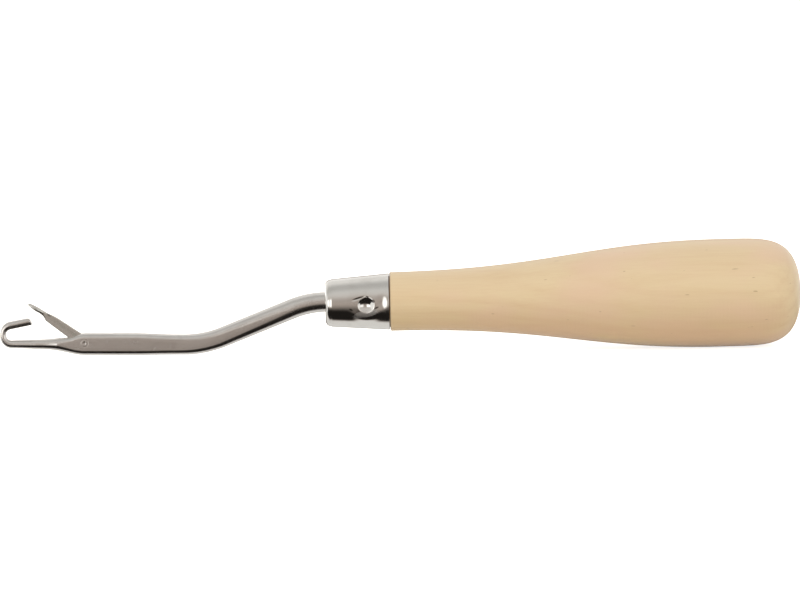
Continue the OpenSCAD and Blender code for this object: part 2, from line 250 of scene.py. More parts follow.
@dataclass(frozen=True)
class Bar:
    """Cross-sections of a rounded bar: one width, height and edge rounding for each.

    A point at the angle phi lies at half_flat clip(K cos phi) + r cos phi across, and
    the same with sines above. K makes each flat a very slight crown, so that no two
    points meet even where the section is a circle.
    """

    width: Array
    height: Array
    rounding: Array
    crown: float = 8.0

    def flats(self) -> tuple[Array, Array, Array]:
        """Half the flat width, half the flat height and the rounding, as columns."""
        r = np.minimum(self.rounding, np.minimum(self.width, self.height) / 2)
        return (self.width / 2 - r)[:, None], (self.height / 2 - r)[:, None], r[:, None]

    def at(self, phi: Array) -> tuple[Array, Array]:
        """Points at angles phi in radians, for every section.

        Args:
            phi: (sections, points) or (1, points) angles.

        Returns:
            How far across and how far above each point lies.
        """
        a, b, r = self.flats()
        c, s = np.cos(phi), np.sin(phi)
        across = a * np.clip(self.crown * c, -1, 1) + r * c
        above = b * np.clip(self.crown * s, -1, 1) + r * s
        return across, above

    def angle_at(self, across: Array) -> Array:
        """Angle of the point on the upper side that lies so far across.

        On the flat cos phi = across / (K a + r), and on the corner (across - a) / r.
        """
        a, _, r = self.flats()
        flat = across / (self.crown * a + r)
        corner = (across - a) / r
        return np.arccos(np.clip(np.where(flat * self.crown <= 1, flat, corner), 0, 1))

    def ring_angles(self, flat: int, corner: int, side: int) -> Array:
        """Angles round a whole section, close together on its four flats.

        Args:
            flat: steps on the top, and on the bottom.
            corner: steps on each corner.
            side: steps on each side.

        Returns:
            One row of rising angles, from the middle of the right side.
        """
        d = math.asin(1 / self.crown)
        q = math.pi / 2
        turn = steps(
            (-d, d, side), (d, q - d, corner), (q - d, q + d, flat), (q + d, 2 * q - d, corner),
            (2 * q - d, 2 * q + d, side), (2 * q + d, 3 * q - d, corner),
            (3 * q - d, 3 * q + d, flat), (3 * q + d, 4 * q - d, corner),
        )
        return turn[None, :-1]


def as_points(place: Array, across: Array, lift: Array, above: Array) -> Array:
    """Puts section points at their places on a path in the plane of the crank.

    Args:
        place: (sections, 2) places [x, z].
        across: (sections, points) distances along Y.
        lift: (sections, 2) unit vectors [x, z] that count as above.
        above: (sections, points) distances along lift.

    Returns:
        (sections, points, 3) points.
    """
    spot = place[:, None, :] + above[..., None] * lift[:, None, :]
    return np.stack([spot[..., 0], across, spot[..., 1]], axis=-1)


def revolved(x: Array, radius: Array, turn: Array) -> Array:
    """Rings about the handle's axis: x, r cos t, r sin t for each profile point and turn."""
    r, t = radius[:, None], turn[None, :]
    return np.stack([x[:, None] + 0 * t, r * np.cos(t), r * np.sin(t)], axis=-1)


@dataclass(frozen=True)
class Crank:
    """The needle's centre line, from the ferrule's front to the rivet and the stem."""

    start: tuple[float, float] = (-13.3, 0.25)
    angle: float = 20.75
    top_r: float = 19.5
    knee_r: float = 21.7
    knee_drop: float = 7.8
    rise: float = 1.6
    nose_x: float = -80.6
    nose_at: float = 17.45
    rivet_up: float = 0.36

    def corners(self) -> tuple[Array, Array, Array]:
        """Where the slope begins and ends, and the centre of the knee's bend."""
        top = np.array(self.start) - self.top_r * (up(0) - up(self.angle))
        centre_z = self.knee_r - self.knee_drop
        knee_z = centre_z - self.knee_r * math.cos(math.radians(self.angle))
        knee = top + (top[1] - knee_z) / math.sin(math.radians(self.angle)) * ahead(self.angle)
        return top, knee, knee + self.knee_r * up(self.angle)

    def rivet_foot(self) -> Array:
        """The centre line's place under the rivet, nose_at behind the hook's nose."""
        _, _, centre = self.corners()
        knee_end = centre - self.knee_r * up(-self.rise)
        rivet_x = self.nose_x + self.nose_at * math.cos(math.radians(self.rise))
        front = (knee_end[0] - rivet_x) / math.cos(math.radians(self.rise))
        return knee_end + front * ahead(-self.rise)

    def lengths(self) -> tuple[float, float, float]:
        """How far behind the rivet the knee ends, the knee begins and the ferrule lies."""
        top, knee, centre = self.corners()
        front = np.hypot(*(centre - self.knee_r * up(-self.rise) - self.rivet_foot()))
        behind = front + self.knee_r * math.radians(self.angle + self.rise)
        return front, behind, behind + np.hypot(*(knee - top)) + self.top_r * math.radians(self.angle)

    def rivet(self) -> Array:
        """The rivet's place [x, z]."""
        return self.rivet_foot() + self.rivet_up * up(-self.rise)

    def round_rivet(self, y: Array, radius: Array, turn: Array) -> Array:
        """Rings about the rivet's axis, one for each place along Y and its radius."""
        x, z = self.rivet()
        r, t = radius[:, None], turn[None, :]
        return np.stack([x + r * np.cos(t), y[:, None] + 0 * t, z + r * np.sin(t)], axis=-1)

    def on_front(self, forward: Array, above: Array) -> Array:
        """Places so far forward of the rivet and above the centre line."""
        forward, above = np.broadcast_arrays(np.asarray(forward, float), np.asarray(above, float))
        step, lift = ahead(-self.rise), up(-self.rise)
        return self.rivet_foot() + forward[..., None] * step + above[..., None] * lift


class Value:
    """A number that varies over a surface: a socket that takes part in sums."""

    def __init__(self, paint: "Paint", socket: bpy.types.NodeSocket) -> None:
        """Wraps an output socket of a material."""
        self.paint = paint
        self.socket = socket

    def sum(self, operation: str, *others: Any) -> "Value":
        """Adds one Math node.

        Args:
            operation: the Math node's operation.
            others: the values after this one.

        Returns:
            The node's result.
        """
        values = dict(enumerate((self, *others)))
        node = self.paint.node("ShaderNodeMath", {"operation": operation}, values)
        return Value(self.paint, node.outputs[0])

    def __add__(self, other: Any) -> "Value":
        """self + other."""
        return self.sum("ADD", other)

    def __radd__(self, other: float) -> "Value":
        """other + self."""
        return self.sum("ADD", other)

    def __sub__(self, other: Any) -> "Value":
        """self - other."""
        return self.sum("SUBTRACT", other)

    def __rsub__(self, other: float) -> "Value":
        """other - self, as self times -1 plus other."""
        return self.sum("MULTIPLY_ADD", -1.0, other)

    def __mul__(self, other: Any) -> "Value":
        """self times other."""
        return self.sum("MULTIPLY", other)

    def __truediv__(self, other: Any) -> "Value":
        """self over other."""
        return self.sum("DIVIDE", other)

    def __pow__(self, other: float) -> "Value":
        """self to the power other."""
        return self.sum("POWER", other)

    def ramp(self, low: float, high: float) -> "Value":
        """Rises smoothly from 0 where self is low to 1 where it is high."""
        node = self.paint.node(
            "ShaderNodeMapRange",
            {"interpolation_type": "SMOOTHSTEP"},
            {"Value": self, "From Min": low, "From Max": high},
        )
        return Value(self.paint, node.outputs[0])


class Paint:
    """One material: a Principled surface and the nodes that vary it."""

    def __init__(self, name: str, constants: dict[str, Any]) -> None:
        """Starts the material.

        Args:
            name: the material's name.
            constants: values for the surface's own sockets, the same all over.
        """
        self.material = bpy.data.materials.new(name)
        self.material.use_nodes = True
        self.tree = self.material.node_tree
        self.surface = next(n for n in self.tree.nodes if n.type == "BSDF_PRINCIPLED")
        for socket, value in constants.items():
            self.surface.inputs[socket].default_value = value

    def node(self, kind: str, settings: dict[str, Any], values: dict[Any, Any]) -> bpy.types.Node:
        """Adds a node.

        Args:
            kind: the node's type.
            settings: its properties, which are set first.
            values: a value, a Value or a socket for each input, by name or number.

        Returns:
            The node.
        """
        made = self.tree.nodes.new(kind)
        for name, setting in settings.items():
            setattr(made, name, setting)
        for name, value in values.items():
            value = value.socket if isinstance(value, Value) else value
            if isinstance(value, bpy.types.NodeSocket):
                self.tree.links.new(value, made.inputs[name])
            else:
                made.inputs[name].default_value = value
        return made

    def place(self, scale: Colour, turn: Colour = (0, 0, 0)) -> bpy.types.NodeSocket:
        """Object coordinates, turned and then scaled from metres."""
        source = self.node("ShaderNodeTexCoord", {}, {}).outputs["Object"]
        values = {"Vector": source, "Rotation": turn, "Scale": scale}
        return self.node("ShaderNodeMapping", {}, values).outputs[0]

    def run(self, scale: Colour) -> bpy.types.NodeSocket:
        """The piece's own run: millimetres along, across and above it, scaled."""
        source = self.node("ShaderNodeAttribute", {"attribute_name": "run"}, {}).outputs["Vector"]
        return self.node("ShaderNodeMapping", {}, {"Vector": source, "Scale": scale}).outputs[0]

    def noise(self, where: bpy.types.NodeSocket, detail: float) -> Value:
        """Smooth noise about 0.5, with about one blob to a unit of the place."""
        values = {"Vector": where, "Scale": 1.0, "Detail": detail, "Roughness": 0.55}
        return Value(self, self.node("ShaderNodeTexNoise", {}, values).outputs[0])

    def axis(self, where: bpy.types.NodeSocket, name: str) -> Value:
        """One of X, Y and Z of a place."""
        return Value(self, self.node("ShaderNodeSeparateXYZ", {}, {0: where}).outputs[name])

    def millimetres(self) -> tuple[Value, Value, Value]:
        """The row's X, Y and Z in millimetres, each as a value."""
        where = self.place((1 / MM, 1 / MM, 1 / MM))
        return self.axis(where, "X"), self.axis(where, "Y"), self.axis(where, "Z")

    def mix(self, share: Any, a: Any, b: Any) -> bpy.types.NodeSocket:
        """Mixes two colours, each a colour or a socket, by a share."""
        settings = {"data_type": "RGBA", "blend_type": "MIX", "clamp_factor": True}
        colours = [c if isinstance(c, bpy.types.NodeSocket) else (*c, 1.0) for c in (a, b)]
        values = {0: share, 6: colours[0], 7: colours[1]}
        return self.node("ShaderNodeMix", settings, values).outputs[2]

    def bump(self, height: Value, depth_mm: float, below: Any = None) -> bpy.types.NodeSocket:
        """A Bump node, whose height of 1 stands depth_mm out of the surface."""
        values = {"Height": height, "Strength": 1.0, "Distance": depth_mm * MM}
        if below is not None:
            values["Normal"] = below
        return self.node("ShaderNodeBump", {}, values).outputs[0]

    def show(self, shader: bpy.types.NodeSocket) -> bpy.types.Material:
        """Shows a shader in place of the plain surface, and gives the finished material."""
        out = next(n for n in self.tree.nodes if n.type == "OUTPUT_MATERIAL")
        self.tree.links.new(shader, out.inputs["Surface"])
        return self.material

    def feed(self, **links: Any) -> bpy.types.Material:
        """Feeds the surface's varying sockets.

        Args:
            links: a Value or socket for each socket, its name with _ for spaces.

        Returns:
            The finished material.
        """
        for name, value in links.items():
            value = value.socket if isinstance(value, Value) else value
            self.tree.links.new(value, self.surface.inputs[name.replace("_", " ")])
        return self.material


@dataclass(frozen=True)
class Wood:
    """Pale close-grained wood, turned, sanded and waxed."""

    slot: str = "wood"
    light: Colour = (0.80, 0.62, 0.38)
    dark: Colour = (0.70, 0.48, 0.27)
    blush: Colour = (0.80, 0.565, 0.385)
    fleck: Colour = (0.38, 0.22, 0.11)
    # Painted shade: the dark of the gap between the ferrule's rim and the wood's shoulder.
    edge: Colour = (0.13, 0.06, 0.03)
    pith: tuple[float, float] = (31.0, -24.0)

    def paint(self) -> bpy.types.Material:
        """Growth rings cut lengthwise, fibres, soft blotches, short flecks, turning marks and painted
        shade at the shoulder.

        The rings go round a pith that lies along X, well outside the handle.
        """
        wax = {"Coat Weight": 0.4, "Coat Roughness": 0.3, "Specular IOR Level": 0.4}
        p = Paint("turned_wood", wax)
        bent = p.noise(p.place((18, 60, 60)), 2)
        x, y, z = p.millimetres()
        away = ((y - self.pith[0]) ** 2 + (z - self.pith[1]) ** 2) ** 0.5 + bent * 2.6
        ring = (away * 2.9).sum("SINE") * 0.5 + 0.5
        late = ring ** 3.0
        fibre = p.noise(p.place((120, 3200, 3200)), 4)
        streak = p.noise(p.place((26, 620, 620)), 3)
        blotch = p.noise(p.place((45, 90, 90)), 2)
        spots = p.noise(p.place((420, 1900, 1900)), 1)
        fleck = spots.ramp(0.765, 0.81)
        grain = late * 0.16 + streak.ramp(0.35, 0.75) * 0.24 + fibre.ramp(0.3, 0.8) * 0.22
        colour = p.mix(grain, self.light, self.dark)
        colour = p.mix(blotch.ramp(0.40, 0.66) * 0.75, colour, self.blush)
        # Painted shade: the wood darkens at its shoulder, in the gap under the ferrule's rim.
        colour = p.mix((1 - x.ramp(-2.05, -1.75)) * 0.9, colour, self.edge)
        colour = p.mix(fleck * 0.55, colour, self.fleck)
        turning = (x * 7.5 + bent * 3.0).sum("SINE") * 0.5 + 0.5
        rough = 0.40 + fibre * 0.12 + blotch * 0.06
        relief = p.bump(fibre * 0.6 + streak * 0.4, 0.030)
        relief = p.bump(turning * blotch, 0.006, relief)
        return p.feed(Base_Color=colour, Roughness=rough, Normal=p.bump(1 - fleck, 0.03, relief))


@dataclass(frozen=True)
class BrightPlate:
    """Thin drawn sheet with a bright nickel plate, a little smudged by handling.

    Each mark of painted shade is an ellipse: its middle's row X and Z, the sine of its slope, and
    half its length and thickness, in millimetres. The marks paint the shade in the crease in front of
    the dimple and dark reflections in the dents round it. The press scuffed the plate in an ellipse
    under the dimple, which is given in the same way. Both are on the -Y side alone.
    """

    slot: str = "bright_plate"
    plate: Colour = (0.78, 0.755, 0.71)
    smudge: Colour = (0.67, 0.64, 0.59)
    # Colour of the painted shade and painted dark reflections round the dimple, laid by the marks
    # below.
    painted_dent_shade: Colour = (0.07, 0.055, 0.045)
    marks: tuple[tuple[float, float, float, float, float], ...] = (
        (-8.45, 11.75, 0.28, 1.45, 0.24), (-6.6, 12.0, -0.35, 0.45, 0.18),
        (-10.0, 9.35, -0.5, 0.5, 0.22), (-4.75, 9.75, 0.4, 0.6, 0.2),
        (-5.5, 11.1, -0.4, 0.55, 0.42),
    )
    scuff: tuple[float, float, float, float, float] = (-6.9, 8.5, 0.22, 3.1, 0.9)

    def paint(self) -> bpy.types.Material:
        """Soft smudges, faint marks round the sheet, fine scratches, and painted shade and dark
        reflections round the dimple.
        """
        p = Paint(self.slot, {"Metallic": 1.0})
        cloud = p.noise(p.place((220, 220, 220)), 4)
        round_marks = p.noise(p.place((9000, 260, 260)), 3)
        scratch = p.noise(p.place((500, 6000, 1500), (0.3, 0.5, 0.2)), 2).ramp(0.66, 0.74)
        rough = 0.085 + cloud.ramp(0.4, 0.75) * 0.10 + round_marks * 0.05 + scratch * 0.12
        colour = p.mix(cloud.ramp(0.45, 0.8) * 0.7, self.plate, self.smudge)
        x, y, z = p.millimetres()
        near = 1 - y.ramp(-1.5, -0.5)
        away = []
        for at_x, at_z, rise, long, thick in (*self.marks, self.scuff):
            run = math.sqrt(1 - rise * rise)
            along = ((x - at_x) * run + (z - at_z) * rise) / long
            off = ((z - at_z) * run - (x - at_x) * rise) / thick
            away.append(along ** 2 + off ** 2)
        rough = rough + (1 - away.pop().ramp(0.3, 1.2)) * near * 0.34
        # Painted shade and painted dark reflections: each mark darkens the plate in the crease and
        # dents round the dimple.
        for far in away:
            colour = p.mix((1 - far.ramp(0.15, 1.0)) * near * 0.85, colour, self.painted_dent_shade)
        relief = p.bump(round_marks + scratch, 0.0012, p.bump(cloud, 0.035))
        return p.feed(Base_Color=colour, Roughness=rough, Normal=relief)


@dataclass(frozen=True)
class Steel:
    """Nickel-plated steel, satin, with fine polishing marks along the bar.

    Each painted shade is an ellipse: its middle along and above, and half its length and height. It
    darkens the metal towards the shade colour where shade falls.
    """

    slot: str = "satin_steel"
    metal: Colour = (0.76, 0.73, 0.69)
    dull: Colour = (0.64, 0.61, 0.57)
    rough: float = 0.17
    marks_mm: float = 0.004
    # Colour of painted shade, laid by the ellipses below.
    painted_shade: Colour = (0.16, 0.15, 0.13)
    painted_shades: tuple[tuple[float, float, float, float], ...] = ()

    def paint(self) -> bpy.types.Material:
        """Marks along the run of the bar, cloudy patches, a few small pits and the painted shades."""
        p = Paint(self.slot, {"Metallic": 1.0})
        fine = p.noise(p.run((0.35, 14.0, 14.0)), 4)
        broad = p.noise(p.run((0.10, 1.6, 1.6)), 3)
        cloud = p.noise(p.run((0.55, 0.8, 0.8)), 4)
        pit = p.noise(p.run((5.0, 5.0, 5.0)), 1).ramp(0.74, 0.80)
        tone = broad.ramp(0.35, 0.7) * 0.45 + cloud.ramp(0.4, 0.75) * 0.4
        colour = p.mix(pit * 0.6, p.mix(tone, self.metal, self.dull), self.dull)
        run = p.run((1.0, 1.0, 1.0))
        x, z = p.axis(run, "X"), p.axis(run, "Z")
        # Painted shade: each ellipse darkens the metal towards the shade colour, where shade falls.
        for along, above, long, tall in self.painted_shades:
            away = ((x - along) / long) ** 2 + ((z - above) / tall) ** 2
            colour = p.mix((1 - away.ramp(0.1, 1.0)) * 0.8, colour, self.painted_shade)
        rough = self.rough + fine * 0.10 + cloud.ramp(0.4, 0.8) * 0.06
        relief = p.bump(fine * 0.7 + broad * 0.3, self.marks_mm)
        return p.feed(Base_Color=colour, Roughness=rough, Normal=p.bump(1 - pit, 0.004, relief))


@dataclass
class Part:
    """A sub-assembly's place among the bodies, and its finish."""

    seat: Seat
    body: str = "tool"
    finish: Any = None

    def dress(self, piece: bpy.types.Object) -> None:
        """Gives a piece its finish and puts it in the place of the solid of the same name.

        Args:
            piece: the visual piece, named NODE_skin.
        """
        piece.data.materials.append(self.finish.paint())
        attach(piece, self.body)
        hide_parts(piece.name.removesuffix("_skin"))
        count = sum(len(face.vertices) - 2 for face in piece.data.polygons)
        LOG.info("%s: %d triangles on body %s", piece.name, count, self.body)


@dataclass
class Handle(Part):
    """The turned handle, with its tenon and the socket for the tang."""

    length: float = 84.485
    neck_r: float = 6.05
    belly_r: float = 11.085
    belly_at: float = 67.4
    neck_run: float = 33.4
    belly_run: float = 26.8
    butt_square: float = 4.9
    butt_full: float = 2.4
    shoulder_round: float = 0.3
    tenon_gap: float = 0.3
    tenon_fit: float = 0.05
    tenon_chamfer: float = 1.1
    mouth_r: float = 2.9
    around: int = 176
    finish: Wood = field(default_factory=Wood)

    def outline(self) -> tuple[Array, Array]:
        """The bare wood's outline from its shoulder to its butt.

        The swell is x = 3(1-t)t((1-t) neck_run + t (belly_at - belly_run)) + t^3 belly_at
        with r going smoothly from neck_r to belly_r. The butt is a superellipse,
        x = belly_at + l sin(a)^(2/square) and r = belly_r cos(a)^(2/full).

        Returns:
            x and radius of each point.
        """
        corner = np.linspace(0, math.pi / 2, 7)
        round_x = self.shoulder_round * (1 - np.cos(corner))
        round_r = self.neck_r - self.shoulder_round * (1 - np.sin(corner))
        t = np.linspace(0, 1, 110)
        inner = (1 - t) * self.neck_run + t * (self.belly_at - self.belly_run)
        swell_x = 3 * (1 - t) * t * inner + t**3 * self.belly_at
        swell_r = lerp(self.neck_r, self.belly_r, smooth(t))
        kept = swell_x > self.shoulder_round * 1.5
        a = np.linspace(0, math.pi / 2, 64)[1:-1]
        butt_x = self.belly_at + (self.length - self.belly_at) * np.sin(a) ** (2 / self.butt_square)
        butt_r = self.belly_r * np.cos(a) ** (2 / self.butt_full)
        return (
            np.concatenate([round_x, swell_x[kept], butt_x]),
            np.concatenate([round_r, swell_r[kept], butt_r]),
        )

    def build(self, ferrule: "Ferrule", needle: "Needle") -> bpy.types.Object:
        """One skin from the bottom of the socket, out of it, over the tenon, to the butt.

        Args:
            ferrule: the sheet that the tenon fills.
            needle: the bar whose tang the socket holds.

        Returns:
            The handle.
        """
        turn = np.linspace(0, 2 * math.pi, self.around, endpoint=False)
        socket = needle.tang_rings(turn[None, :], needle.tang_fit)
        front = ferrule.front_x + ferrule.wall + self.tenon_gap
        socket = socket[socket[:, 0, 0] > front + 0.5]
        mouth = socket[-1:].copy()
        mouth[..., 0] = front
        side = np.linspace(front + self.tenon_chamfer, 0.0, 60)
        tenon_x = np.concatenate([[front, front], side, [0.0]])
        tenon = ferrule.radius_at(tenon_x) - ferrule.wall - self.tenon_fit
        tenon[:2] = [self.mouth_r, tenon[1] - self.tenon_chamfer]
        tenon[-1] = lerp(tenon[-1], self.neck_r, 0.5)
        x, radius = self.outline()
        wood = revolved(np.concatenate([tenon_x, x]), np.concatenate([tenon, radius]), turn)
        pressed = ferrule.dimple_depth_at(wood)
        covered = wood[..., 0] < -0.3
        middle = np.maximum(np.hypot(wood[..., 1], wood[..., 2]), 1)
        wood[..., 1:] *= (1 - np.where(covered, pressed, 0) / middle)[..., None]
        rings = np.concatenate([socket, mouth, wood])
        return Skin("handle_skin", rings, Ends.POLES).build(self.seat)


@dataclass(frozen=True)
class PressMark:
    """A long or round dent beside the dimple, given from the dimple's middle.

    Its depth is depth exp(-|along / long|^square - (off / wide)^2), with along and off
    counted from its own middle (x, z) in its slope's direction and square to it.
    """

    depth: float
    x: float
    z: float
    long: float
    wide: float
    slope_deg: float = 0.0
    square: int = 2

    def at(self, x: Array, z: Array) -> Array:
        """How deep the sheet is dented at places x along and z up from the dimple."""
        c, s = math.cos(math.radians(self.slope_deg)), math.sin(math.radians(self.slope_deg))
        along = c * (x - self.x) + s * (z - self.z)
        off = c * (z - self.z) - s * (x - self.x)
        return self.depth * np.exp(-np.abs(along / self.long) ** self.square - (off / self.wide) ** 2)


@dataclass
class Ferrule(Part):
    """The drawn cup of sheet metal, with a dimple pressed in on both sides."""

    front_x: float = -13.3
    rear_x: float = -0.1
    front_r: float = 4.8
    rear_r: float = 5.8
    wall: float = 0.5
    nose_round: float = 1.1
    rim_round: float = 0.15
    dimple_r: float = 1.65
    dimple_depth: float = 0.8
    dimple_at: float = -4.9
    shoulder: float = 0.10
    mouth_r: float = 3.0
    bell: PressMark = PressMark(0.10, -1.2, 0.0, 3.0, 2.4)
    rim_dent: PressMark = PressMark(0.24, 3.2, 0.05, 0.95, 1.5)
    crease: PressMark = PressMark(0.12, -1.6, 1.42, 1.3, 0.19, 16.2602, 4)
    swell_up: float = 0.12
    swell_r: float = 3.05
    swell_half: float = 0.8
    marked_half: float = 2.4
    around: int = 216
    finish: BrightPlate = field(default_factory=BrightPlate)

    def radius_at(self, x: Any) -> Any:
        """The cone's radius at x."""
        return lerp(self.front_r, self.rear_r, (x - self.front_x) / (self.rear_x - self.front_x))

    def from_dimple(self, points: Array) -> tuple[Array, Array]:
        """How far points lie along X and up over the sheet from the middle of a dimple."""
        turned = np.arctan2(points[..., 2], np.abs(points[..., 1]))
        return points[..., 0] - self.dimple_at, self.radius_at(self.dimple_at) * turned

    def dimple_depth_at(self, points: Array) -> Array:
        """How deep the sheet is pressed in at points near it, on both sides alike.

        With q = 1 - (d / dimple_r)^2 and d the distance over the sheet from the
        dimple's middle, the depth is dimple_depth (q + sqrt(q^2 + shoulder^2)) / 2.

        Args:
            points: (..., 3) on or just under the sheet.

        Returns:
            The depth at each point.
        """
        d = np.hypot(*self.from_dimple(points))
        q = 1 - (d / self.dimple_r) ** 2
        pressed = (q + np.sqrt(q * q + self.shoulder**2)) / 2
        return self.dimple_depth * np.where(d < 4 * self.dimple_r, pressed, 0)

    def sunk_at(self, points: Array) -> Array:
        """How far the sheet round a dimple was drawn in with it, and marked by the tool.

        To the soft bell of the drawing come, on the -Y side alone, a dent at the rim, a
        crease in front and a low swell under the dimple, which stands out.
        """
        x, z = self.from_dimple(points)
        below = smooth((0.25 * x - z - 0.2) / 1.8)
        ring = np.exp(-(((np.hypot(x, z) - self.swell_r) / self.swell_half) ** 2))
        near = self.rim_dent.at(x, z) + self.crease.at(x, z) - self.swell_up * below * ring
        return self.bell.at(x, z) + np.where(points[..., 1] < 0, near, 0)

    def profile(self) -> tuple[Array, Array]:
        """The sheet's profile, out over the front, back along the wall and in again.

        Returns:
            x and radius of each point, close together where the sheet is pressed.
        """
        q = np.linspace(0, math.pi / 2, 12)
        n, m, w = self.nose_round, self.nose_round - self.wall, self.wall
        nose_x, nose_r = self.front_x + n - n * np.cos(q), self.front_r - n + n * np.sin(q)
        marked, clear = self.dimple_at - self.marked_half, self.dimple_at + self.marked_half
        near = steps(
            (self.front_x + n + 0.2, marked, 34), (marked, clear, 66), (clear, self.rear_x - 0.3, 14),
        )
        near_r = self.radius_at(near)
        r = self.rim_round
        rim = np.linspace(0, math.pi, 9)
        rim_x = self.rear_x - r + r * np.sin(rim)
        rim_r = self.radius_at(self.rear_x) - w / 2 + (w / 2 - 0.02) * np.cos(rim)
        far = near[::-2]
        inner = self.front_x + w + m - m * np.cos(q[::-1])
        inner_r = self.radius_at(self.front_x + w) - w - m + m * np.sin(q[::-1])
        x = [[self.front_x], nose_x, near, rim_x, far, inner, [self.front_x + w]]
        far_r = self.radius_at(far) - w
        radius = [[self.mouth_r], nose_r, near_r, rim_r, far_r, inner_r, [self.mouth_r - 0.1]]
        return np.concatenate(x), np.concatenate(radius)

    def build(self, needle: "Needle") -> bpy.types.Object:
        """One ring-shaped skin: the slot's edge, the front, the wall, the rim and back inside.

        The points stand closer together on the two sides with the dimples. The pressing
        fades out towards the rolled front and the rim.

        Args:
            needle: the bar that the slot lets through.

        Returns:
            The ferrule.
        """
        even = np.linspace(0, 2 * math.pi, self.around, endpoint=False)
        turn = even - 0.22 * np.sin(2 * even)
        x, radius = self.profile()
        sheet = revolved(x, radius, turn)
        middle = np.hypot(sheet[..., 1], sheet[..., 2])
        pressed = self.dimple_depth_at(sheet) + self.sunk_at(sheet)
        wall = smooth((sheet[..., 0] - self.front_x - self.nose_round) / 1.5)
        rim = smooth((self.rear_x - sheet[..., 0]) / 1.2)
        sheet[..., 1:] *= (1 - pressed * wall * rim / middle)[..., None]
        slot = needle.tang_rings(turn[None, :], needle.tang_fit)[-1:].repeat(2, axis=0)
        slot[0, :, 0], slot[1, :, 0] = self.front_x + self.wall, self.front_x
        rings = np.concatenate([slot, sheet])
        return Skin("ferrule_skin", rings, Ends.JOINED).build(self.seat)


